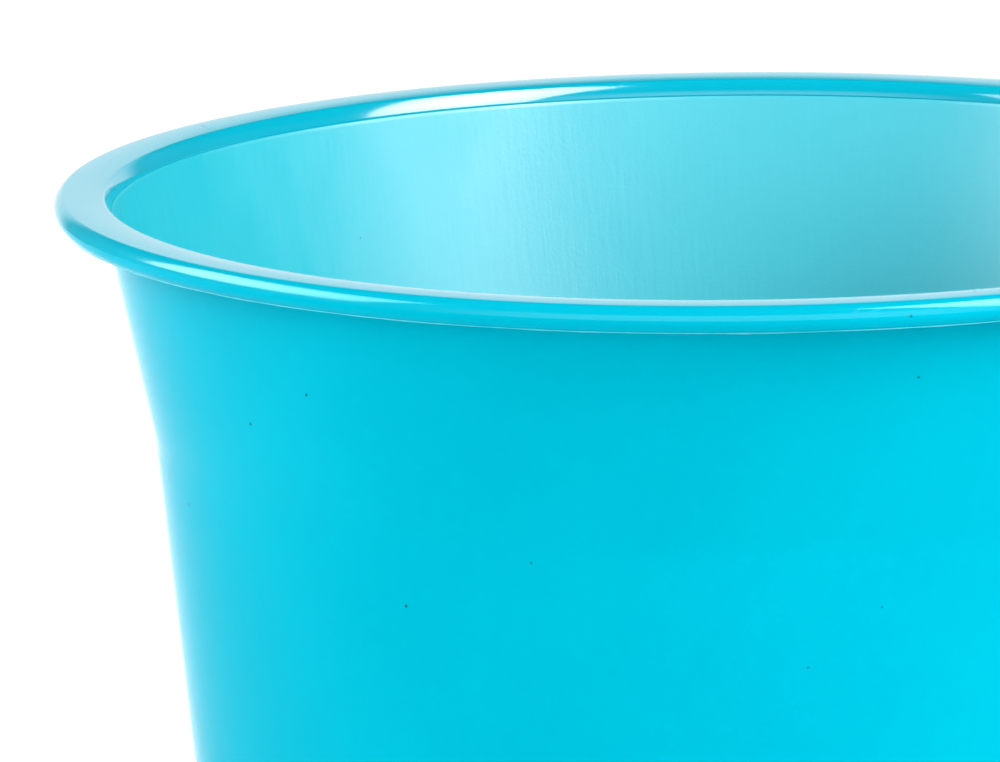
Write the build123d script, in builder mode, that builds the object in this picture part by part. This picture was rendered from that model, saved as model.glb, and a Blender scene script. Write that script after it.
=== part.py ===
"""Sand bucket: one moulded bucket with two ears under its rim, a wire bail and a tube grip.

Millimetres. The origin is the centre of the foot ring on the ground, +Z is up, and the ears are on +X and -X.
The bail hangs at rest on the +Y side, with its grip against the wall.
"""

from build123d import *
from math import acos, atan, cos, degrees, hypot, sin, sqrt
import os

# Bucket: overall sizes
rim_radius = 105.0  # over the outside of the rim
bucket_height = 180.0  # ground to the highest point of the rim

# Rim: a crowned top between a bulging outer bead and a rounded inner lip
rim_overhang = 7.1  # outer wall to the outside of the bead, at the rim's underside
rim_height = 3.9  # height of the outer bead
rim_plate = 2.1  # thickness of the top, over the hollow behind the bead
bead_width = 3.0  # the bead's thickness, across the wall
bead_bulge = 1.2  # how far the bead stands out beyond its top and bottom edges
bead_edge_round = 0.35
crown_inset = 3.1  # outside of the bead to the highest circle of the top
crown_round = 30.0  # radius of the top's gentle crown
lip_width = 1.2  # how far the inner lip overhangs the wall
lip_drop = 2.8  # depth of the lip's lower end under the top of the rim
lip_round = 0.8  # round between the crowned top and the lip

# Wall: a wide upper cone over a steeper lower cone
wall = 1.6  # thickness, measured level
upper_slope = 0.205  # growth of the radius with height, above the bend
lower_slope = 0.092  # growth of the radius with height, below the bend
bend_drop = 38.35  # depth of the bend under the top of the rim
bend_blend = 27.0  # radius of the soft blend at the bend
underside_round = 0.8  # round where the wall meets the rim's underside

# Floor and foot
foot_depth = 3.0  # ground to the underside of the floor
foot_width = 3.4  # width of the ring that the bucket stands on
foot_round = 1.2
floor = 2.2
floor_round = 7.0  # round between the floor and the wall, inside
panel_radius = 46.0  # raised middle of the floor
panel_rise = 1.0
panel_ramp = 3.0
gate_radius = 2.2  # nub left by the moulding gate, under the middle of the floor
gate_height = 0.7

# Ears: a flat plate on two side webs, open underneath
pivot_drop = 13.0  # depth of the bail's axis under the top of the rim
ear_radius = 11.0  # round end of the plate, about the bail's axis
ear_plate = 2.4
ear_web = 2.0
ear_round = 0.9
ear_into_rim = 0.8  # how far the ear stands up into the rim's top

# Bail: one round wire
wire = 3.2  # diameter
wire_end_chamfer = 0.4
hook_length = 6.5  # bail's axis to the end of the hook
hook_bend = 2.4  # centreline radius of the bend into the hook
arm_bend = 4.0  # centreline radius of the bend at the outside of the ear

# Grip: a barrel-shaped tube with a hub on the wire
grip_length = 90.0
grip_radius = 8.5  # at the middle
grip_taper = 0.9  # how much smaller the radius is at the ends
grip_wall = 2.5
grip_hub = 1.6
grip_web = 1.6
grip_middle_web = 2.4
grip_end_round = 1.2
flute_count = 14
flute_radius = 1.5
flute_depth = 0.6  # at the middle, running out to nothing towards the ends

# Clearances
wire_clearance = 0.3  # around the wire, in the ears and in the grip
hook_clearance = 0.3  # hook to the wall and to the ear's plate
arm_clearance = 2.4  # bail's arms to the outside of the rim
rim_clearance = 1.2  # grip to the rim, as the bail swings over
rest_clearance = 0.3  # grip to the wall, where the bail comes to rest
grip_end_play = 3.0  # grip's ends to the bends of the wire


def outer_radius(height):
    """Radius of the outside of the wall."""
    slope = upper_slope if height > bend_height else lower_slope
    return bend_radius + slope * (height - bend_height)


def crown_point(radius):
    """Point of the crowned top of the rim."""
    away = radius - (rim_radius - crown_inset)
    return (radius, bucket_height - crown_round + sqrt(crown_round**2 - away**2))


# Heights and radii that follow from the sizes above
rim_under = bucket_height - rim_plate
bead_bottom = bucket_height - rim_height
bead_edge_radius = rim_radius - bead_bulge
bend_height = bucket_height - bend_drop
bend_radius = rim_radius - rim_overhang - upper_slope * (rim_under - bend_height)
base_radius = outer_radius(0)
floor_top = foot_depth + floor
lip_foot_height = bucket_height - lip_drop
lip_foot_radius = outer_radius(lip_foot_height) - wall
pivot_height = bucket_height - pivot_drop

# The hook stands clear of the wall, and the ear's plate clear of the hook
hook_x = outer_radius(pivot_height + hook_length) + hook_clearance + wire / 2
ear_inner_x = hook_x + hook_bend + hook_clearance
ear_outer_x = ear_inner_x + ear_plate
arm_x = max(rim_radius, ear_outer_x) + arm_clearance + wire / 2

# The grip passes over the rim, and comes to rest on the lower wall
bail_reach = hypot(rim_radius, pivot_drop) + rim_clearance + grip_radius
wall_angle = atan(lower_slope)
rest_reach = outer_radius(bend_height) + lower_slope * (pivot_height - bend_height)
rest_reach += (grip_radius + rest_clearance) / cos(wall_angle)
rest_angle = wall_angle + acos(rest_reach * cos(wall_angle) / bail_reach)
crown_half = grip_length / 2 + grip_end_play
corner_round = arm_x - crown_half

ear_plane = Plane.YZ.offset(outer_radius(pivot_height) - wall - ear_radius)
ear_reach = ear_outer_x - ear_plane.origin.X
bail_plane = Plane(
    origin=(0, 0, pivot_height),
    x_dir=(1, 0, 0),
    z_dir=(0, sin(rest_angle), cos(rest_angle)),
)
crown_plane = Plane(
    origin=bail_plane.from_local_coords((0, bail_reach, 0)),
    x_dir=(1, 0, 0),
    z_dir=bail_plane.z_dir,
)
grip_end_plane = Plane.YZ.offset(grip_length / 2)


def ear_outline(half_width, top, bottom):
    """Upright tab across the bail's axis: straight sides from top to bottom, then a half-round end."""
    with BuildSketch(ear_plane) as outline:
        with BuildLine():
            Polyline((-half_width, bottom), (-half_width, top), (half_width, top), (half_width, bottom))
            ThreePointArc((half_width, bottom), (0, bottom - half_width), (-half_width, bottom))
        make_face()
    return outline.sketch


# Ear for the +X side, before it joins the bucket
with BuildPart() as ear:
    extrude(ear_outline(ear_radius, rim_under + ear_into_rim, pivot_height), amount=ear_reach)
    face = ear.faces().sort_by(Axis.X)[-1]
    rounded = face.edges().filter_by(GeomType.CIRCLE) + face.edges().filter_by(Axis.Z)
    fillet(rounded, ear_round)
    pocket = ear_outline(ear_radius - ear_web, rim_under, pivot_height - ear_radius)
    extrude(pocket, amount=ear_reach - ear_plate, mode=Mode.SUBTRACT)
    with BuildSketch(ear_plane):
        with Locations((0, pivot_height)):
            Circle(wire / 2 + wire_clearance)
    extrude(amount=ear_reach, mode=Mode.SUBTRACT)
    with BuildSketch(Plane.XZ):
        with BuildLine():
            Polyline(
                (0, 0),
                (base_radius - wall / 2, 0),
                (bend_radius - wall / 2, bend_height),
                (outer_radius(bucket_height) - wall / 2, bucket_height),
                (0, bucket_height),
                close=True,
            )
        make_face()
    revolve(axis=Axis.Z, mode=Mode.SUBTRACT)

# Bucket: the wall's section turned about the centreline, with both ears
with BuildPart() as bucket_body:
    with BuildSketch(Plane.XZ) as section:
        with BuildLine():
            under = FilletPolyline(
                (0, foot_depth + panel_rise),
                (panel_radius, foot_depth + panel_rise),
                (panel_radius + panel_ramp, foot_depth),
                (base_radius - foot_width, foot_depth),
                (base_radius - foot_width, 0),
                (base_radius, 0),
                (bend_radius, bend_height),
                (rim_radius - rim_overhang, rim_under),
                (rim_radius - bead_width, rim_under),
                (rim_radius - bead_width, bead_bottom),
                radius=[
                    panel_ramp / 2,
                    panel_ramp / 2,
                    foot_round / 2,
                    foot_round / 2,
                    foot_round,
                    bend_blend,
                    underside_round,
                    underside_round,
                ],
            )
            bottom = Line(under @ 1, (bead_edge_radius, bead_bottom))
            bead = ThreePointArc(
                bottom @ 1,
                (rim_radius, bead_bottom + rim_height / 2),
                crown_point(bead_edge_radius),
            )
            crown = ThreePointArc(
                bead @ 1,
                crown_point(rim_radius - crown_inset),
                crown_point(lip_foot_radius + lip_width),
            )
            lip = TangentArc(
                (lip_foot_radius, lip_foot_height), crown @ 1, tangent=(upper_slope, 1)
            )
            inside = FilletPolyline(
                lip @ 0,
                (bend_radius - wall, bend_height),
                (outer_radius(floor_top) - wall, floor_top),
                (panel_radius + panel_ramp, floor_top),
                (panel_radius, floor_top + panel_rise),
                (0, floor_top + panel_rise),
                radius=[bend_blend, floor_round, panel_ramp / 2, panel_ramp / 2],
            )
            Line(inside @ 1, under @ 0)
        make_face()
        fillet(section.vertices().sort_by_distance(lip @ 1)[0], lip_round)
        for bead_edge in (bead @ 0, bead @ 1):
            fillet(section.vertices().sort_by_distance(bead_edge)[0], bead_edge_round)
    revolve(axis=Axis.Z)
    with Locations((0, 0, foot_depth + panel_rise)):
        Cylinder(gate_radius, gate_height, align=(Align.CENTER, Align.CENTER, Align.MAX))
    add(ear.part)
    add(ear.part.mirror(Plane.YZ))

# Bail wire: hook, ear, arm, corner and straight crown, and the same again on the other side
with BuildPart() as bail_wire:
    with BuildLine(bail_plane) as centreline:
        FilletPolyline(
            (-hook_x, -hook_length),
            (-hook_x, 0),
            (-arm_x, 0),
            (-arm_x, bail_reach),
            (arm_x, bail_reach),
            (arm_x, 0),
            (hook_x, 0),
            (hook_x, -hook_length),
            radius=[hook_bend, arm_bend, corner_round, corner_round, arm_bend, hook_bend],
        )
    with BuildSketch(Plane(centreline.line @ 0, z_dir=centreline.line % 0)):
        Circle(wire / 2)
    sweep()
    chamfer(bail_wire.faces().filter_by(GeomType.PLANE).edges(), wire_end_chamfer)

# Grip: barrel with flutes that run out towards its ends, cored from both ends around its hub
with BuildPart() as grip:
    with BuildSketch(Plane.XZ):
        with BuildLine():
            Polyline(
                (-grip_length / 2, grip_radius - grip_taper),
                (-grip_length / 2, 0),
                (grip_length / 2, 0),
                (grip_length / 2, grip_radius - grip_taper),
            )
            ThreePointArc(
                (grip_length / 2, grip_radius - grip_taper),
                (0, grip_radius),
                (-grip_length / 2, grip_radius - grip_taper),
            )
        make_face()
    revolve(axis=Axis.X)
    fillet(grip.edges().filter_by(GeomType.CIRCLE), grip_end_round)
    with BuildSketch(grip_end_plane):
        with PolarLocations(grip_radius - flute_depth + flute_radius, flute_count):
            Circle(flute_radius)
    extrude(amount=-grip_length, mode=Mode.SUBTRACT)
    for direction in (-1, 1):
        with BuildSketch(Plane.YZ.offset(direction * grip_middle_web / 2)):
            Circle(grip_radius - grip_wall)
            Circle(wire / 2 + wire_clearance + grip_hub, mode=Mode.SUBTRACT)
            Rectangle(grip_web, 2 * grip_radius, mode=Mode.SUBTRACT)
            Rectangle(2 * grip_radius, grip_web, mode=Mode.SUBTRACT)
        extrude(amount=direction * grip_length, mode=Mode.SUBTRACT)
    with BuildSketch(grip_end_plane):
        Circle(wire / 2 + wire_clearance)
    extrude(amount=-grip_length, mode=Mode.SUBTRACT)

os.makedirs("parts", exist_ok=True)
bucket_body.part.label = "bucket_body"
export_step(bucket_body.part, "parts/bucket_body.step")
bail_wire.part.label = "bail_wire"
export_step(bail_wire.part, "parts/bail_wire.step")
placed_grip = crown_plane.location * grip.part
placed_grip.label = "grip"
export_step(placed_grip, "parts/grip.step")

print("pivot height", round(pivot_height, 3))
print("bail reach", round(bail_reach, 3), "rest angle", round(degrees(rest_angle), 3))
print("crown centre", crown_plane.origin)
print("base radius", round(base_radius, 3), "hook x", round(hook_x, 3), "arm x", round(arm_x, 3))
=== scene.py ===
"""Looks of the sand bucket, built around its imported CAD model. Metres, in the CAD frame: +Z up, ears on +X and -X."""

from math import acos, asin, atan2, ceil, cos, pi, radians, sin, sqrt, tan

import bmesh
import bpy
from mathutils import Matrix, Vector, noise


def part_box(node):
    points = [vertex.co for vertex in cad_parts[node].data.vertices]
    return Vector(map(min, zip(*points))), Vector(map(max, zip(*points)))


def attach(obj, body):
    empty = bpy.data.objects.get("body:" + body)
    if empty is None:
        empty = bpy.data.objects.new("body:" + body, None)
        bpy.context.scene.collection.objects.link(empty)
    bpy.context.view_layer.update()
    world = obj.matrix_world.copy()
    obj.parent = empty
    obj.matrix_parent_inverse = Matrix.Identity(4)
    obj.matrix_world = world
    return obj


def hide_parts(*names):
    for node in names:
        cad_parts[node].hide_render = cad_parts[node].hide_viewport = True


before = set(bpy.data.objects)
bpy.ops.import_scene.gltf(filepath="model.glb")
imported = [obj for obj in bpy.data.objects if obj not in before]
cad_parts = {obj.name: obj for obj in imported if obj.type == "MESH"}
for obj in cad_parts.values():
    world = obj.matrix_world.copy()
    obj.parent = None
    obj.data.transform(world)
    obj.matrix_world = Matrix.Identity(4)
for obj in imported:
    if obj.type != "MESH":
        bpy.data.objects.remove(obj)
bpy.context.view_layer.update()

MM = 0.001
UP = Vector((0, 0, 1))

# ---------------------------------------------------------------- sizes that the looks share with the CAD model
_, bucket_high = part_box("bucket_body")
grip_low, grip_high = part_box("grip")
RIM_RADIUS = bucket_high.x
HEIGHT = bucket_high.z
CROWN_CENTRE = (grip_low + grip_high) / 2

RIM_OVERHANG = 7.1 * MM
RIM_HEIGHT = 3.9 * MM
RIM_PLATE = 2.1 * MM
BEAD_WIDTH = 3.0 * MM
BEAD_BULGE = 1.2 * MM
BEAD_EDGE_ROUND = 0.35 * MM
CROWN_INSET = 3.1 * MM
CROWN_ROUND = 30.0 * MM
LIP_WIDTH = 1.2 * MM
LIP_DROP = 2.8 * MM
LIP_ROUND = 0.8 * MM
WALL = 1.6 * MM
UPPER_SLOPE = 0.205
LOWER_SLOPE = 0.092
BEND_HEIGHT = HEIGHT - 38.35 * MM
BEND_BLEND = 27.0 * MM
UNDERSIDE_ROUND = 0.8 * MM
FOOT_DEPTH = 3.0 * MM
FOOT_WIDTH = 3.4 * MM
FOOT_ROUND = 1.2 * MM
FLOOR = 2.2 * MM
FLOOR_ROUND = 7.0 * MM
PANEL_RADIUS = 46.0 * MM
PANEL_RISE = 1.0 * MM
PANEL_RAMP = 3.0 * MM
GATE_RADIUS = 2.2 * MM
GATE_HEIGHT = 0.7 * MM
GATE_ROUND = 0.3 * MM
PIVOT_HEIGHT = HEIGHT - 13.0 * MM
EAR_RADIUS = 11.0 * MM
EAR_PLATE = 2.4 * MM
EAR_WEB = 2.0 * MM
EAR_ROUND = 0.9 * MM
EAR_INTO_RIM = 0.8 * MM
WIRE = 3.2 * MM
WIRE_CLEARANCE = 0.3 * MM
WIRE_END_CHAMFER = 0.4 * MM
HOOK_LENGTH = 6.5 * MM
HOOK_BEND = 2.4 * MM
HOOK_CLEARANCE = 0.3 * MM
ARM_BEND = 4.0 * MM
ARM_CLEARANCE = 2.4 * MM
GRIP_LENGTH = grip_high.x - grip_low.x
GRIP_RADIUS = 8.5 * MM
GRIP_TAPER = 0.9 * MM
GRIP_WALL = 2.5 * MM
GRIP_HUB = 1.6 * MM
GRIP_WEB = 1.6 * MM
GRIP_MIDDLE_WEB = 2.4 * MM
GRIP_END_ROUND = 1.2 * MM
GRIP_END_PLAY = 3.0 * MM
FLUTE_COUNT = 14
FLUTE_RADIUS = 1.5 * MM
FLUTE_DEPTH = 0.6 * MM

RIM_UNDER = HEIGHT - RIM_PLATE
BEAD_BOTTOM = HEIGHT - RIM_HEIGHT
BEND_RADIUS = RIM_RADIUS - RIM_OVERHANG - UPPER_SLOPE * (RIM_UNDER - BEND_HEIGHT)


def outer_radius(height):
    """Radius of the outside of the wall."""
    slope = UPPER_SLOPE if height > BEND_HEIGHT else LOWER_SLOPE
    return BEND_RADIUS + slope * (height - BEND_HEIGHT)


def crown_point(radius):
    """Point of the crowned top of the rim."""
    away = radius - (RIM_RADIUS - CROWN_INSET)
    return Vector((radius, HEIGHT - CROWN_ROUND + sqrt(CROWN_ROUND**2 - away**2)))


HOOK_X = outer_radius(PIVOT_HEIGHT + HOOK_LENGTH) + HOOK_CLEARANCE + WIRE / 2
EAR_INNER_X = HOOK_X + HOOK_BEND + HOOK_CLEARANCE
EAR_OUTER_X = EAR_INNER_X + EAR_PLATE
ARM_X = max(RIM_RADIUS, EAR_OUTER_X) + ARM_CLEARANCE + WIRE / 2
CORNER_ROUND = ARM_X - GRIP_LENGTH / 2 - GRIP_END_PLAY

SHARP_ANGLE = radians(35)  # edges over this stay sharp
GRIP_SHARP_ANGLE = radians(40)
BORE_SIDES = 48
SAME_PLACE = 0.001 * MM  # points closer than this are one point


# ---------------------------------------------------------------- outlines
def corner_arc(before, corner, after, radius, step):
    """Points of the round of that radius at a corner, in steps of so many degrees."""
    back = (before - corner).normalized()
    ahead = (after - corner).normalized()
    half = acos(max(-1.0, min(1.0, back.dot(ahead)))) / 2
    turn = pi - 2 * half
    centre = corner + (back + ahead).normalized() * (radius / sin(half))
    first = corner + back * (radius / tan(half)) - centre
    last = corner + ahead * (radius / tan(half)) - centre
    count = max(3, ceil(turn / radians(step)))
    shares = [i / count for i in range(count + 1)]
    return [centre + (first * sin((1 - s) * turn) + last * sin(s * turn)) / sin(turn) for s in shares]


def rounded(points, radii, step=10):
    """The open outline through points, with each inner corner rounded to its radius."""
    points = [Vector(p) for p in points]
    out = [points[0]]
    for before, corner, after, radius in zip(points, points[1:], points[2:], radii):
        out += corner_arc(before, corner, after, radius, step)
    return out + [points[-1]]


def joined(first, second, radius, step=12):
    """Two outlines that meet in a corner, as one outline with that corner rounded."""
    corner = first[-1]
    arc = corner_arc(first[-2], corner, second[1], radius, step)
    reach = (arc[0] - corner).length
    kept_first = [p for p in first if (p - corner).length > reach]
    kept_second = [p for p in second if (p - corner).length > reach]
    return kept_first + arc, kept_second


def arc_through(start, middle, end, count):
    """Points of the circular arc through three points."""
    ax, ay = (middle - start) * 2
    bx, by = (end - start) * 2
    ka = middle.length_squared - start.length_squared
    kb = end.length_squared - start.length_squared
    scale = 1 / (ax * by - ay * bx)
    centre = Vector(((ka * by - kb * ay) * scale, (ax * kb - bx * ka) * scale))
    first, last = start - centre, end - centre
    turn = first.angle(last)
    shares = [i / count for i in range(count + 1)]
    return [centre + (first * sin((1 - s) * turn) + last * sin(s * turn)) / sin(turn) for s in shares]


def tangent_arc(start, direction, end, count):
    """Points of the arc that leaves start along direction and ends at end."""
    direction = direction.normalized()
    chord = end - start
    side = Vector((-direction.y, direction.x))
    centre = start + side * (chord.length_squared / (2 * chord.dot(side)))
    turn = 2 * atan2(chord.dot(side), chord.dot(direction))
    spoke = start - centre
    return [centre + Matrix.Rotation(turn * i / count, 2) @ spoke for i in range(count + 1)]


# ---------------------------------------------------------------- mesh helpers
def mesh_object(name, bm):
    """A new object from a bmesh, linked to the scene."""
    bmesh.ops.recalc_face_normals(bm, faces=bm.faces)
    data = bpy.data.meshes.new(name)
    bm.to_mesh(data)
    bm.free()
    data.shade_smooth()
    obj = bpy.data.objects.new(name, data)
    bpy.context.scene.collection.objects.link(obj)
    return obj


def bake_modifiers(obj):
    """Puts the result of the object's modifiers into its mesh."""
    graph = bpy.context.evaluated_depsgraph_get()
    data = bpy.data.meshes.new_from_object(obj.evaluated_get(graph))
    obj.modifiers.clear()
    old = obj.data
    obj.data = data
    bpy.data.meshes.remove(old)


def cut(obj, tool):
    """Takes the shape of tool out of obj, and removes tool."""
    modifier = obj.modifiers.new("cut", "BOOLEAN")
    modifier.operation = "DIFFERENCE"
    modifier.solver = "EXACT"
    modifier.object = tool
    bake_modifiers(obj)
    bpy.data.objects.remove(tool)


def loft(bm, loops):
    """Skins closed loops of points, and closes both ends."""
    rings = [[bm.verts.new(p) for p in loop] for loop in loops]
    for near, far in zip(rings, rings[1:]):
        for i in range(len(near)):
            j = (i + 1) % len(near)
            bm.faces.new((near[i], near[j], far[j], far[i]))
    bm.faces.new(rings[0][::-1])
    bm.faces.new(rings[-1])


def prism(outline, x_from, x_to):
    """A closed prism along X over a (y, z) outline."""
    bm = bmesh.new()
    loft(bm, [[(x, p[0], p[1]) for p in outline] for x in (x_from, x_to)])
    return bm


def circle(centre, radius, count):
    """Points of a circle about a (y, z) centre."""
    angles = [2 * pi * i / count for i in range(count)]
    return [(centre[0] + radius * cos(a), centre[1] + radius * sin(a)) for a in angles]


# ---------------------------------------------------------------- bucket
TURNS = 288
LONGEST = 6 * MM  # longest stretch of the section between two circles of points
SHORTEST = 0.4 * MM  # stretch next to a round
OUTSIDE, FLASH, CROWN, LIP, INSIDE = range(5)
BEAD_STEPS = 28
CROWN_STEPS = 12
LIP_STEPS = 12
CREASE_DEPTH = 0.06 * MM  # fine groove where the lip meets the inner wall
CREASE_HEIGHT = 0.35 * MM
CREASE_SECTION = ((0, 0), (0.25, 0.7), (0.5, 1), (0.75, 0.7), (1, 0))  # shares of the height and of the depth
FLASH_HEIGHT = 0.16 * MM  # how far the parting line stands out, on average
FLASH_LEAST = 0.25  # share of that height which is always left
FLASH_DIRECTION = Vector((0.8, -0.6))  # outward and down


def flash(angle):
    """Height of the fine parting line at the foot of the bead, which comes and goes round the rim."""
    at = Vector((cos(angle), sin(angle), 0))
    ripple = noise.noise(at * 11) + 0.7 * noise.noise(at * 43)
    return FLASH_HEIGHT * max(FLASH_LEAST, 1 + 0.8 * ripple)


def between(length):
    """Shares of a stretch of that length where points go: close at both ends, and opening out towards its middle."""
    near, step, at = [], SHORTEST, SHORTEST
    while at < length / 2:
        near.append(at / length)
        step = min(step * 2, LONGEST)
        at += step
    return near + [1 - share for share in reversed(near)]


def bucket_profile():
    """The wall's section as (point, zone, flash) rows, from the middle underneath round to the middle of the floor.

    A point is (radius, height), a zone is that of the strip that ends there, and flash is the share of the parting
    line's height that the point stands out by."""
    base = outer_radius(0)
    foot_inner = base - FOOT_WIDTH
    panel = FOOT_DEPTH + PANEL_RISE
    bead_edge = RIM_RADIUS - BEAD_BULGE
    under = rounded(
        [
            (0, panel - GATE_HEIGHT),
            (GATE_RADIUS, panel - GATE_HEIGHT),
            (GATE_RADIUS, panel),
            (PANEL_RADIUS, panel),
            (PANEL_RADIUS + PANEL_RAMP, FOOT_DEPTH),
            (foot_inner, FOOT_DEPTH),
            (foot_inner, 0),
            (base, 0),
            (BEND_RADIUS, BEND_HEIGHT),
            (RIM_RADIUS - RIM_OVERHANG, RIM_UNDER),
            (RIM_RADIUS - BEAD_WIDTH, RIM_UNDER),
            (RIM_RADIUS - BEAD_WIDTH, BEAD_BOTTOM),
            (bead_edge, BEAD_BOTTOM),
        ],
        [
            GATE_ROUND,
            GATE_ROUND / 2,
            PANEL_RAMP / 2,
            PANEL_RAMP / 2,
            FOOT_ROUND / 2,
            FOOT_ROUND / 2,
            FOOT_ROUND,
            BEND_BLEND,
            UNDERSIDE_ROUND,
            UNDERSIDE_ROUND,
            BEAD_EDGE_ROUND / 2,
        ],
    )
    bead_middle = Vector((RIM_RADIUS, BEAD_BOTTOM + RIM_HEIGHT / 2))
    bead = arc_through(under[-1], bead_middle, crown_point(bead_edge), BEAD_STEPS)
    under, bead = joined(under, bead, BEAD_EDGE_ROUND)
    lip_foot = Vector((outer_radius(HEIGHT - LIP_DROP) - WALL, HEIGHT - LIP_DROP))
    crown_end = lip_foot.x + LIP_WIDTH
    crown_width = crown_end - bead_edge
    crown = [crown_point(bead_edge + crown_width * i / CROWN_STEPS) for i in range(CROWN_STEPS + 1)]
    lip = tangent_arc(lip_foot, Vector((UPPER_SLOPE, 1)), crown[-1], LIP_STEPS)[::-1]
    bead, crown = joined(bead, [bead[-1]] + crown[1:], BEAD_EDGE_ROUND)
    crown, lip = joined(crown, lip, LIP_ROUND)
    floor_top = FOOT_DEPTH + FLOOR
    inside = rounded(
        [
            lip_foot,
            (BEND_RADIUS - WALL, BEND_HEIGHT),
            (outer_radius(floor_top) - WALL, floor_top),
            (PANEL_RADIUS + PANEL_RAMP, floor_top),
            (PANEL_RADIUS, floor_top + PANEL_RISE),
            (0, floor_top + PANEL_RISE),
        ],
        [BEND_BLEND, FLOOR_ROUND, PANEL_RAMP / 2, PANEL_RAMP / 2],
        6,
    )
    down = (inside[1] - lip_foot).normalized()
    groove = Vector((CREASE_DEPTH, 0))
    crease = [lip_foot + down * CREASE_HEIGHT * along + groove * deep for along, deep in CREASE_SECTION]

    widest = max(range(len(bead)), key=lambda i: bead[i].x)
    rows = [(p, OUTSIDE) for p in under + bead[: widest + 1]]
    rows += [(p, CROWN) for p in bead[widest + 1 :] + crown]
    rows += [(p, LIP) for p in lip[:-1] + crease[:2]]
    rows += [(p, INSIDE) for p in crease[2:] + inside[1:]]

    foot = len(under) - 2  # a point of the round at the foot of the bead, where the parting line runs
    out = [(*rows[0], 0)]
    for i, (point, zone) in enumerate(rows[1:], 1):
        last = out[-1][0]
        length = (point - last).length
        if length < SAME_PLACE:
            continue
        if length > 3 * SHORTEST:
            out += [(last.lerp(point, share), zone, 0) for share in between(length)]
        out.append((point, FLASH if abs(i - foot) <= 1 else zone, 1.0 if i == foot else 0.0))
    return out


def bucket_shell():
    """The moulding, turned about the centreline."""
    bm = bmesh.new()
    angles = [2 * pi * i / TURNS for i in range(TURNS)]
    before = None
    for point, zone, share in bucket_profile():
        if point.x < SAME_PLACE:
            ring = [bm.verts.new((0, 0, point.y))]
        else:
            places = [point + FLASH_DIRECTION * (flash(a) * share) for a in angles]
            ring = [bm.verts.new((p.x * cos(a), p.x * sin(a), p.y)) for p, a in zip(places, angles)]
        if before:
            for i in range(TURNS):
                j = (i + 1) % TURNS
                quad = [before[i % len(before)], before[j % len(before)], ring[j % len(ring)], ring[i % len(ring)]]
                bm.faces.new(list(dict.fromkeys(quad))).material_index = zone
        before = ring
    return mesh_object("bucket_shell", bm)


EAR_STEPS = 32  # along the half-round end
EAR_ROUND_STEPS = 5


def ear_outline(half_width, top, bottom):
    """Upright tab across the bail's axis: straight sides from top to bottom, then a half-round end."""
    angles = [pi * i / EAR_STEPS for i in range(EAR_STEPS + 1)]
    end = [(half_width * cos(a), bottom - half_width * sin(a)) for a in angles]
    return [(half_width, top)] + end + [(-half_width, top)]


def ear(name, side):
    """A plate on two side webs under the rim, with the hole for the wire."""
    root_x = outer_radius(PIVOT_HEIGHT) - WALL - EAR_RADIUS
    bm = prism(ear_outline(EAR_RADIUS, RIM_UNDER + EAR_INTO_RIM, PIVOT_HEIGHT), root_x, EAR_OUTER_X)
    edges = [e for e in bm.edges if all(v.co.x > EAR_OUTER_X - MM for v in e.verts)]
    bmesh.ops.bevel(bm, geom=edges, offset=EAR_ROUND, segments=EAR_ROUND_STEPS, profile=0.5, affect="EDGES")
    obj = mesh_object(name, bm)
    pocket = ear_outline(EAR_RADIUS - EAR_WEB, RIM_UNDER, PIVOT_HEIGHT - EAR_RADIUS)
    cut(obj, mesh_object("pocket", prism(pocket, root_x - MM, EAR_INNER_X)))
    hole = circle((0, PIVOT_HEIGHT), WIRE / 2 + WIRE_CLEARANCE, BORE_SIDES)
    cut(obj, mesh_object("hole", prism(hole, root_x - MM, EAR_OUTER_X + MM)))
    cone = bmesh.new()
    heights = (BEND_HEIGHT, HEIGHT + MM)
    angles = [2 * pi * i / TURNS for i in range(TURNS)]
    radii = [outer_radius(h) - WALL / 2 for h in heights]
    loft(cone, [[(r * cos(a), r * sin(a), h) for a in angles] for r, h in zip(radii, heights)])
    cut(obj, mesh_object("cone", cone))
    if side < 0:
        obj.data.transform(Matrix.Rotation(pi, 4, "Z"))
    obj.data.shade_smooth()
    obj.data.set_sharp_from_angle(angle=SHARP_ANGLE)
    return obj


# ---------------------------------------------------------------- bail
WIRE_SIDES = 40


def bail():
    """The wire, swept along its bends: hook, ear, arm, corner and straight crown, and the same again."""
    pivot = Vector((0, 0, PIVOT_HEIGHT))
    reach = (CROWN_CENTRE - pivot).length
    across = Vector((1, 0, 0))
    along = (CROWN_CENTRE - pivot).normalized()
    path = rounded(
        [
            (-HOOK_X, -HOOK_LENGTH),
            (-HOOK_X, 0),
            (-ARM_X, 0),
            (-ARM_X, reach),
            (ARM_X, reach),
            (ARM_X, 0),
            (HOOK_X, 0),
            (HOOK_X, -HOOK_LENGTH),
        ],
        [HOOK_BEND, ARM_BEND, CORNER_ROUND, CORNER_ROUND, ARM_BEND, HOOK_BEND],
        4,
    )
    ahead = (path[1] - path[0]).normalized() * WIRE_END_CHAMFER
    astern = (path[-2] - path[-1]).normalized() * WIRE_END_CHAMFER
    path = [path[0], path[0] + ahead] + path[1:-1] + [path[-1] + astern, path[-1]]
    loops = []
    for i, p in enumerate(path):
        after, prior = path[min(i + 1, len(path) - 1)], path[max(i - 1, 0)]
        heading = (after - prior).normalized()
        radius = WIRE / 2 - (WIRE_END_CHAMFER if i in (0, len(path) - 1) else 0)
        middle = pivot + across * p.x + along * p.y
        side = across * -heading.y + along * heading.x
        normal = across.cross(along)
        turns = [2 * pi * k / WIRE_SIDES for k in range(WIRE_SIDES)]
        loops.append([middle + side * (radius * cos(a)) + normal * (radius * sin(a)) for a in turns])
    bm = bmesh.new()
    loft(bm, loops)
    obj = mesh_object("bail", bm)
    obj.data.set_sharp_from_angle(angle=SHARP_ANGLE)
    return obj


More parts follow.
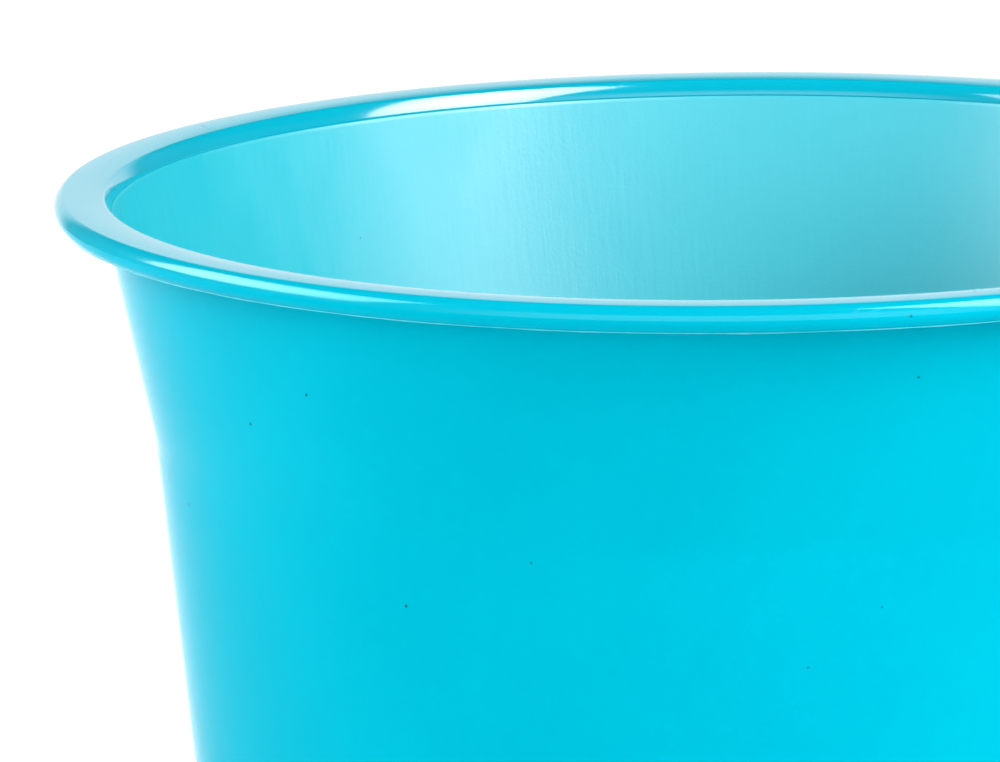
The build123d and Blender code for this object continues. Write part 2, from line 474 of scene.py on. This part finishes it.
# ---------------------------------------------------------------- grip
FLUTE_STEPS = 22  # points round the grip for each flute
GRIP_STEPS = 44  # rings along the grip
GRIP_ROUND_STEPS = 5
CORE_STEPS = 12  # along each curved side of a core


def grip_radius_at(x):
    """Radius of the barrel between its flutes."""
    bow = ((GRIP_LENGTH / 2) ** 2 + GRIP_TAPER**2) / (2 * GRIP_TAPER)
    return GRIP_RADIUS - bow + sqrt(bow**2 - x**2)


def grip_loop(x, radius):
    """One ring of the barrel, at x along it, dented by the flutes where they reach it."""
    loop = []
    centre = GRIP_RADIUS - FLUTE_DEPTH + FLUTE_RADIUS
    for i in range(FLUTE_COUNT * FLUTE_STEPS):
        angle = 2 * pi * i / (FLUTE_COUNT * FLUTE_STEPS)
        pitch = 2 * pi / FLUTE_COUNT
        off = (angle + pitch / 2) % pitch - pitch / 2
        inside = FLUTE_RADIUS**2 - (centre * sin(off)) ** 2
        r = min(radius, centre * cos(off) - sqrt(inside)) if inside > 0 else radius
        loop.append((x, r * cos(angle), r * sin(angle)))
    return loop


def quadrant(turn):
    """Outline of one of the four cores between the webs, the hub and the barrel's wall."""
    inner, outer = WIRE / 2 + WIRE_CLEARANCE + GRIP_HUB, GRIP_RADIUS - GRIP_WALL
    outline = []
    for radius, steps in ((outer, range(CORE_STEPS + 1)), (inner, range(CORE_STEPS, -1, -1))):
        first = asin(GRIP_WEB / 2 / radius)
        for i in steps:
            a = turn + first + (pi / 2 - 2 * first) * i / CORE_STEPS
            outline.append((radius * cos(a), radius * sin(a)))
    return outline


def grip():
    """Barrel with flutes that run out towards its ends, cored from both ends around its hub."""
    half = GRIP_LENGTH / 2
    straight = half - GRIP_END_ROUND
    stations = [straight * (2 * i / GRIP_STEPS - 1) for i in range(GRIP_STEPS + 1)]
    rings = [(x, grip_radius_at(x)) for x in stations]
    rounds = []
    for i in range(1, GRIP_ROUND_STEPS + 1):
        a = pi / 2 * i / GRIP_ROUND_STEPS
        rounds.append((straight + GRIP_END_ROUND * sin(a), rings[-1][1] - GRIP_END_ROUND * (1 - cos(a))))
    rings = [(-x, r) for x, r in reversed(rounds)] + rings + rounds
    bm = bmesh.new()
    loft(bm, [grip_loop(x, r) for x, r in rings])
    obj = mesh_object("grip_barrel", bm)
    cores = bmesh.new()
    for end in (-1, 1):
        for k in range(4):
            outline = quadrant(k * pi / 2)
            loft(cores, [[(end * x, *p) for p in outline] for x in (GRIP_MIDDLE_WEB / 2, half + MM)])
    cut(obj, mesh_object("cores", cores))
    bore = circle((0, 0), WIRE / 2 + WIRE_CLEARANCE, BORE_SIDES)
    cut(obj, mesh_object("bore", prism(bore, -half - MM, half + MM)))
    along = (CROWN_CENTRE - Vector((0, 0, PIVOT_HEIGHT))).normalized()
    across = Vector((1, 0, 0))
    axes = Matrix((across, along, across.cross(along))).transposed().to_4x4()
    obj.data.transform(Matrix.Translation(CROWN_CENTRE) @ axes)
    obj.data.shade_smooth()
    obj.data.set_sharp_from_angle(angle=GRIP_SHARP_ANGLE)
    return obj


# ---------------------------------------------------------------- materials
class Finish:
    """A node material under construction, with short forms for the nodes it needs."""

    def __init__(self, name, **uniform):
        self.material = bpy.data.materials.new(name)
        self.material.use_nodes = True
        self.tree = self.material.node_tree
        self.shader = self.tree.nodes["Principled BSDF"]
        for key, value in uniform.items():
            self.shader.inputs[key.replace("_", " ")].default_value = value
        self.place = self.node("ShaderNodeTexCoord").outputs["Object"]
        self.relief = None

    def node(self, kind, inputs=(), **settings):
        made = self.tree.nodes.new(kind)
        for key, value in settings.items():
            setattr(made, key, value)
        for key, value in dict(inputs).items():
            if isinstance(value, bpy.types.NodeSocket):
                self.tree.links.new(value, made.inputs[key])
            else:
                made.inputs[key].default_value = value
        return made

    def maths(self, operation, a, b=0.0):
        return self.node("ShaderNodeMath", {0: a, 1: b}, operation=operation).outputs[0]

    def stretched(self, scale):
        """The place, scaled by its own factor on each axis."""
        return self.node("ShaderNodeMapping", {"Vector": self.place, "Scale": scale}).outputs[0]

    def noise(self, scale, detail=3.0, place=None, distortion=0.0):
        inputs = {"Vector": place or self.place, "Scale": scale, "Detail": detail, "Distortion": distortion}
        return self.node("ShaderNodeTexNoise", inputs).outputs["Fac"]

    def remap(self, value, low, high, to_low=0.0, to_high=1.0):
        """value, clamped between low and high and moved to between to_low and to_high."""
        inputs = {"Value": value, "From Min": low, "From Max": high, "To Min": to_low, "To Max": to_high}
        return self.node("ShaderNodeMapRange", inputs).outputs["Result"]

    def blend(self, share, first, second):
        """first, with that share of second mixed in: colours use sockets 6 and 7 of the Mix node."""
        return self.node("ShaderNodeMix", {0: share, 6: first, 7: second}, data_type="RGBA").outputs[2]

    def height(self):
        return self.node("ShaderNodeSeparateXYZ", {"Vector": self.place}).outputs["Z"]

    def specks(self, scale, size, share):
        """Small round spots, in that share of the cells of that scale."""
        cells = self.node("ShaderNodeTexVoronoi", {"Vector": self.place, "Scale": scale})
        spot = self.remap(cells.outputs["Distance"], size * 0.6, size, 1.0, 0.0)
        pick = self.node("ShaderNodeSeparateColor", {"Color": cells.outputs["Color"]}).outputs[0]
        return self.maths("MULTIPLY", spot, self.maths("LESS_THAN", pick, share))

    def bump(self, height, distance):
        """Adds relief of that depth to the surface."""
        inputs = {"Height": height, "Distance": distance}
        if self.relief:
            inputs["Normal"] = self.relief
        self.relief = self.node("ShaderNodeBump", inputs).outputs["Normal"]

    def finish(self, colour, roughness):
        self.tree.links.new(colour, self.shader.inputs["Base Color"])
        self.tree.links.new(roughness, self.shader.inputs["Roughness"])
        if self.relief:
            self.tree.links.new(self.relief, self.shader.inputs["Normal"])
        return self.material


TURQUOISES = ((0.0, 0.207, 0.28, 1), (0.0, 0.222, 0.298, 1), (0.0, 0.27, 0.35, 1))  # deep, middle and pale
# inner wall colours, paler than the outside's: painted light standing in for the light that reaches the inside of the
# bucket
INSIDE_PAINTED_LIGHT_TURQUOISES = ((0.0, 0.260, 0.322, 1), (0.0, 0.278, 0.342, 1), (0.0, 0.32, 0.39, 1))
# parting line colours: partly the whitened plastic of the trim, partly a painted highlight of the lit lower edge of the
# rim
FLASH_AND_PAINTED_HIGHLIGHT_TURQUOISES = ((0.0, 0.28, 0.36, 1), (0.06, 0.42, 0.50, 1), (0.60, 0.90, 0.95, 1))
SCUFFED = (0.10, 0.36, 0.43, 1)
SPECK = (0.01, 0.06, 0.08, 1)
SPECK_CELLS, SPECK_SIZE, SPECK_SHARE = 150, 0.05, 0.2
DARK_ZINC, PALE_ZINC = (0.26, 0.27, 0.285, 1), (0.40, 0.41, 0.425, 1)
STAINED_ZINC = (0.17, 0.165, 0.16, 1)


def plastic(name, roughness, tint, colours=TURQUOISES, grain=0.0, streaks=0.0, scuffs_below=0.0, **uniform):
    """Moulded turquoise plastic with cloudy colour, smudged gloss, specks and hairline scratches.

    grain and streaks are the depths of a fine even relief and of upright flow marks, and scuffs_below is the height
    under which the foot is scuffed."""
    f = Finish(name, Specular_Tint=tint, **uniform)
    clouds = f.noise(22, 4)
    deep, middle, pale = colours
    colour = f.blend(f.remap(clouds, 0.35, 0.65), deep, middle)
    mottle = f.noise(420, 2)
    colour = f.blend(f.remap(mottle, 0.45, 0.75, 0, 0.08), colour, pale)
    colour = f.blend(f.specks(SPECK_CELLS, SPECK_SIZE, SPECK_SHARE), colour, SPECK)
    smudges = f.remap(f.noise(38, 5, distortion=0.8), 0.4, 0.7, roughness * 0.9, roughness * 1.25)
    drawn_out = f.noise(45, 1, place=f.stretched((1, 1, 3)), distortion=0.4)
    scratch = f.maths("ABSOLUTE", f.maths("SUBTRACT", drawn_out, 0.5))
    here = f.remap(f.noise(60, 2), 0.60, 0.64)
    hairline = f.maths("MULTIPLY", f.remap(scratch, 0.001, 0.004, 1, 0), here)
    rough = f.maths("ADD", smudges, f.maths("MULTIPLY", hairline, 0.15))
    f.bump(f.noise(26, 2), 0.00008)
    f.bump(hairline, 0.0000015)
    if grain:
        f.bump(f.noise(1700, 2), grain)
    if streaks:
        flat = f.node("ShaderNodeVectorMath", {0: f.place, 1: (1, 1, 0)}, operation="MULTIPLY").outputs[0]
        around = f.node("ShaderNodeVectorMath", {0: flat}, operation="NORMALIZE").outputs[0]
        lift = f.node("ShaderNodeCombineXYZ", {"Z": f.maths("MULTIPLY", f.height(), 1.5)}).outputs[0]
        drawn = f.node("ShaderNodeVectorMath", {0: around, 1: lift}, operation="ADD").outputs[0]
        streak = f.noise(70, 3, place=drawn)
        f.bump(streak, streaks)
        rough = f.maths("ADD", rough, f.remap(streak, 0.3, 0.7, -0.03, 0.03))
    if scuffs_below:
        near_ground = f.remap(f.height(), 0, scuffs_below, 1, 0)
        scuffs = f.remap(f.noise(420, 5, place=f.stretched((1, 1, 3)), distortion=0.6), 0.50, 0.68)
        scuffed = f.maths("MULTIPLY", near_ground, scuffs)
        colour = f.blend(f.maths("MULTIPLY", scuffed, 0.5), colour, SCUFFED)
        rough = f.maths("ADD", rough, f.maths("MULTIPLY", scuffed, 0.35))
        f.bump(scuffed, 0.00002)
    return f.finish(colour, rough)


def zinc():
    """Galvanised wire: dull, mottled and stained in patches."""
    f = Finish("zinc_wire", Metallic=1.0)
    spangle = f.noise(700, 3, distortion=0.6)
    colour = f.blend(f.remap(spangle, 0.35, 0.65), DARK_ZINC, PALE_ZINC)
    stain = f.remap(f.noise(120, 4), 0.58, 0.72)
    colour = f.blend(f.maths("MULTIPLY", stain, 0.6), colour, STAINED_ZINC)
    rough = f.remap(f.noise(300, 4), 0.3, 0.7, 0.28, 0.5)
    f.bump(f.noise(2400, 2), 0.00004)
    f.bump(spangle, 0.00003)
    return f.finish(colour, rough)


# ---------------------------------------------------------------- build
NO_RED = (0.0, 1.0, 1.0, 1)
LITTLE_RED = (0.45, 1.0, 1.0, 1)
WHITE = (1.0, 1.0, 1.0, 1)
gloss = plastic("bucket_outside", 0.07, NO_RED, scuffs_below=6 * MM, Specular_IOR_Level=0.012)
# the pale parting line is partly a painted highlight
flash_and_painted_highlight_finish = plastic("bucket_flash_and_painted_highlight", 0.35, WHITE, FLASH_AND_PAINTED_HIGHLIGHT_TURQUOISES, grain=0.00003)
crown_gloss = plastic("bucket_crown", 0.12, LITTLE_RED, grain=0.000002)
lip_gloss = plastic("bucket_lip", 0.10, WHITE, Specular_IOR_Level=0.65)
# the inner wall's paler colours are painted light
satin = plastic("bucket_inside", 0.42, WHITE, INSIDE_PAINTED_LIGHT_TURQUOISES, grain=0.000016, streaks=0.00003, Specular_IOR_Level=0.9)

bucket = bucket_shell()
for finish in (gloss, flash_and_painted_highlight_finish, crown_gloss, lip_gloss, satin):
    bucket.data.materials.append(finish)
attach(bucket, "bucket")
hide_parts("bucket_body")

for name, side in (("ear_right", 1), ("ear_left", -1)):
    piece = ear(name, side)
    piece.data.materials.append(gloss)
    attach(piece, "bucket")

wire = bail()
wire.data.materials.append(zinc())
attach(wire, "bail")
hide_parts("bail_wire")

handle = grip()
handle.data.materials.append(plastic("grip_satin", 0.28, LITTLE_RED, grain=0.000006))
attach(handle, "grip_tube")
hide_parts("grip")

# ---------------------------------------------------------------- camera
CAMERA_AZIMUTH = 50.0  # degrees from -Y towards +X; the other angles are in radians
CAMERA_DISTANCE = 1.0
CAMERA_ABOVE_RIM = 0.1759
CAMERA_YAW = -0.0364
CAMERA_PITCH = 0.2049
CAMERA_ROLL = -0.0154
LENS = 235.13
SENSOR_WIDTH = 36
CLIP_START = 10 * MM

camera_data = bpy.data.cameras.new("camera")
camera_data.sensor_width = SENSOR_WIDTH
camera_data.lens = LENS
camera_data.clip_start = CLIP_START
camera = bpy.data.objects.new("camera", camera_data)
bpy.context.scene.collection.objects.link(camera)
heading = radians(CAMERA_AZIMUTH)
to_camera = Vector((sin(heading), -cos(heading), 0))
place = Matrix.Translation(to_camera * CAMERA_DISTANCE + UP * (HEIGHT + CAMERA_ABOVE_RIM))
aim = Matrix.Rotation(heading - CAMERA_YAW, 4, "Z") @ Matrix.Rotation(pi / 2 - CAMERA_PITCH, 4, "X")
camera.matrix_world = place @ aim @ Matrix.Rotation(CAMERA_ROLL, 4, "Z")
bpy.context.scene.camera = camera
bpy.context.scene.view_settings.view_transform = "Standard"

# ---------------------------------------------------------------- stage and lights
GROUND_RADIUS = 1.0
GROUND_SIDES = 96
PALE_GREY, PALER_GREY = (0.83, 0.83, 0.83, 1), (0.86, 0.86, 0.86, 1)

bm = bmesh.new()
bmesh.ops.create_circle(bm, cap_ends=True, radius=GROUND_RADIUS, segments=GROUND_SIDES)
ground = mesh_object("ground", bm)
matt = Finish("ground", Specular_IOR_Level=0.2)
shade = matt.blend(matt.noise(3, 2), PALE_GREY, PALER_GREY)
ground.data.materials.append(matt.finish(shade, matt.remap(matt.noise(9), 0, 1, 0.85, 0.95)))


WALL_EDGE = 0.375  # sine of the height where the walls end, at the sides
WALL_EDGE_TILT = 0.068  # how much higher they end in front, and lower behind
SIDE_LIGHT = 0.12
BACK_LIGHT = 1.1
FRONT_LIGHT = 1.6
CEILING_LIGHT = 0.04
SEEN_LIGHT = 1.05  # of the backdrop, as the camera sees it
BACK_WALL = (-0.92, -0.84)  # where the back wall fades into the side walls, as cosines from straight ahead
FRONT_WALL = (0.55, 0.9)
WALL_TOP_FADE = (-0.05, 0.13)


def studio_world():
    """Bright walls in front and behind, dim side walls and a dark ceiling, seen by the camera as a white backdrop."""
    world = bpy.data.worlds.new("studio")
    bpy.context.scene.world = world
    world.use_nodes = True
    nodes, links = world.node_tree.nodes, world.node_tree.links

    def node(kind, inputs, output=0, **settings):
        made = nodes.new(kind)
        for key, value in settings.items():
            setattr(made, key, value)
        for key, value in inputs.items():
            if isinstance(value, bpy.types.NodeSocket):
                links.new(value, made.inputs[key])
            else:
                made.inputs[key].default_value = value
        return made.outputs[output]

    def fade(value, start, end, at_start, at_end):
        inputs = {"Value": value, "From Min": start, "From Max": end, "To Min": at_start, "To Max": at_end}
        return node("ShaderNodeMapRange", inputs, interpolation_type="SMOOTHSTEP")

    direction = nodes.new("ShaderNodeTexCoord").outputs["Generated"]
    front = node("ShaderNodeVectorMath", {0: direction, 1: to_camera}, "Value", operation="DOT_PRODUCT")
    height = node("ShaderNodeSeparateXYZ", {0: direction}, "Z")
    edge = node("ShaderNodeMath", {0: front, 1: WALL_EDGE_TILT, 2: WALL_EDGE}, operation="MULTIPLY_ADD")
    above = node("ShaderNodeMath", {0: height, 1: edge}, operation="SUBTRACT")
    behind = fade(front, *BACK_WALL, BACK_LIGHT, SIDE_LIGHT)
    ahead = fade(front, *FRONT_WALL, 0.0, FRONT_LIGHT - SIDE_LIGHT)
    walls = node("ShaderNodeMath", {0: behind, 1: ahead}, operation="ADD")
    lit = node("ShaderNodeMath", {0: walls, 1: fade(above, *WALL_TOP_FADE, 1.0, 0.0)}, operation="MULTIPLY")
    around = node("ShaderNodeMath", {0: lit, 1: CEILING_LIGHT}, operation="ADD")
    seen = nodes.new("ShaderNodeLightPath").outputs["Is Camera Ray"]
    shown = node("ShaderNodeMix", {"Factor": seen, "A": around, "B": SEEN_LIGHT})
    background = nodes["Background"]
    background.inputs["Color"].default_value = (1, 1, 1, 1)
    links.new(shown, background.inputs["Strength"])


studio_world()


GLOW_EDGE = 0.6  # distance from a lamp's middle, in shares of its width, where it is dimmest
MIDDLE_GLOW, EDGE_GLOW = 1.35, 0.65


def softbox(name, azimuth, elevation, distance, width, height, radiance):
    """A rectangular lamp aimed at the rim, brighter in its middle.

    Azimuth 0 is the camera's side, and it grows to the right."""
    turn = radians(CAMERA_AZIMUTH + azimuth)
    lift = radians(elevation)
    target = Vector((0, 0, HEIGHT))
    away = Vector((sin(turn) * cos(lift), -cos(turn) * cos(lift), sin(lift)))
    data = bpy.data.lights.new(name, "AREA")
    data.shape = "RECTANGLE"
    data.size, data.size_y = width, height
    data.energy = radiance * pi * width * height
    data.use_nodes = True
    nodes, links = data.node_tree.nodes, data.node_tree.links
    place_on = nodes.new("ShaderNodeNewGeometry").outputs["Parametric"]
    off_centre = nodes.new("ShaderNodeVectorMath")
    off_centre.operation = "DISTANCE"
    links.new(place_on, off_centre.inputs[0])
    off_centre.inputs[1].default_value = (0.5, 0.5, 0)
    glow = nodes.new("ShaderNodeMapRange")
    links.new(off_centre.outputs["Value"], glow.inputs["Value"])
    ends = {"From Min": 0.0, "From Max": GLOW_EDGE, "To Min": MIDDLE_GLOW, "To Max": EDGE_GLOW}
    for key, value in ends.items():
        glow.inputs[key].default_value = value
    links.new(glow.outputs["Result"], nodes["Emission"].inputs["Strength"])
    obj = bpy.data.objects.new(name, data)
    obj.location = target + away * distance
    obj.rotation_euler = away.to_track_quat("Z", "Y").to_euler()
    obj.visible_camera = False
    bpy.context.scene.collection.objects.link(obj)
    return obj


softbox("right_softbox", 60, 38, 1.5, 0.98, 1.25, 17)
softbox("left_softbox", -87, 24, 1.5, 1.4, 1.0, 9.5)
fills = (  # even light on the plastic, without a reflection
    softbox("front_fill", 0, 10, 2.0, 2.8, 1.2, 2.6),
    softbox("left_fill", -70, 0, 2.0, 2.0, 1.0, 2.6),
    softbox("back_fill", 180, 15, 2.0, 2.6, 1.4, 3.5),
)
for fill in fills:
    fill.visible_glossy = False
